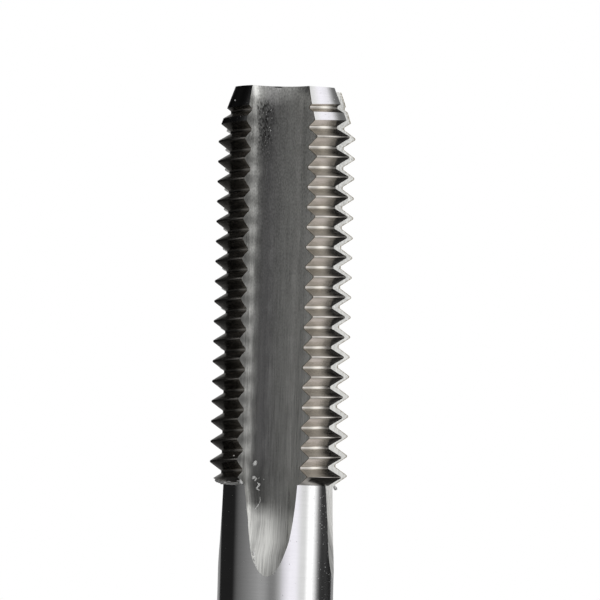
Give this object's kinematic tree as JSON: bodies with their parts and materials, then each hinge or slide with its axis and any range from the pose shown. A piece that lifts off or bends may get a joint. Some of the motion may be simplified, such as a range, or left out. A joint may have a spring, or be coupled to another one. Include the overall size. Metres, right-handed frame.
{
  "type": "thread tap",
  "caption": "Straight-flute hand tap for cutting an internal thread, with a tapered lead, a round shank and a driving square.",
  "frame": {"origin": "centre of the driving square's end face, on the tool's axis", "axes": "+Z along the tool from the driving square to the cutting end; one flute faces -Y"},
  "size_m": [0.0168, 0.0168, 0.108],
  "materials": {
    "tool_steel": "ground and bright, with fine lengthwise grinding lines in the flutes"
  },
  "bodies": {
    "root": {"thread_tap": "tool_steel"}
  },
  "joints": []
}
